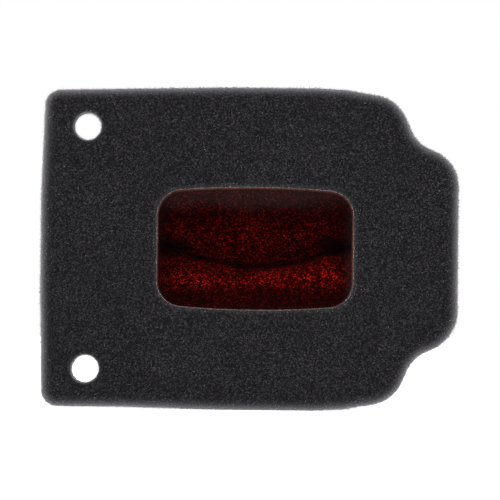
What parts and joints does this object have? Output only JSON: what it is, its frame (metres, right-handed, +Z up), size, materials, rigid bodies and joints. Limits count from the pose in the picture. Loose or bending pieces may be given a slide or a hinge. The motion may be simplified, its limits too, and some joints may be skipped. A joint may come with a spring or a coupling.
{
  "type": "foam air filter element",
  "caption": "Two-stage foam air filter element: black foam box with eared mounting pad, stud holes and a rounded mouth into a pinched red foam bag.",
  "frame": {"origin": "bottom of the element, in the middle of its length and of its depth", "axes": "+X along the length towards the nose end, +Y from the sealing face to the rear panel, +Z up"},
  "size_m": [0.18, 0.0652, 0.139],
  "materials": {
    "black_foam": "open-cell reticulated foam, matt",
    "red_foam": "fine open-cell foam, lightly oiled",
    "dark_glue": "cured contact adhesive, satin",
    "red_glue": "cured contact adhesive stained red, satin"
  },
  "bodies": {
    "root": {"front_pad": "black_foam", "side_band": "black_foam", "rear_panel": "black_foam", "front_seam": "dark_glue", "rear_seam": "dark_glue", "band_butt_joint": "dark_glue", "collar_bond": "red_glue", "mouth_collar": "red_foam", "liner_bond": "red_glue", "liner_upper_sheet": "red_foam", "liner_lower_sheet": "red_foam", "liner_right_seam": "red_glue", "liner_left_seam": "red_glue", "liner_rear_seam": "red_glue"}
  },
  "joints": []
}
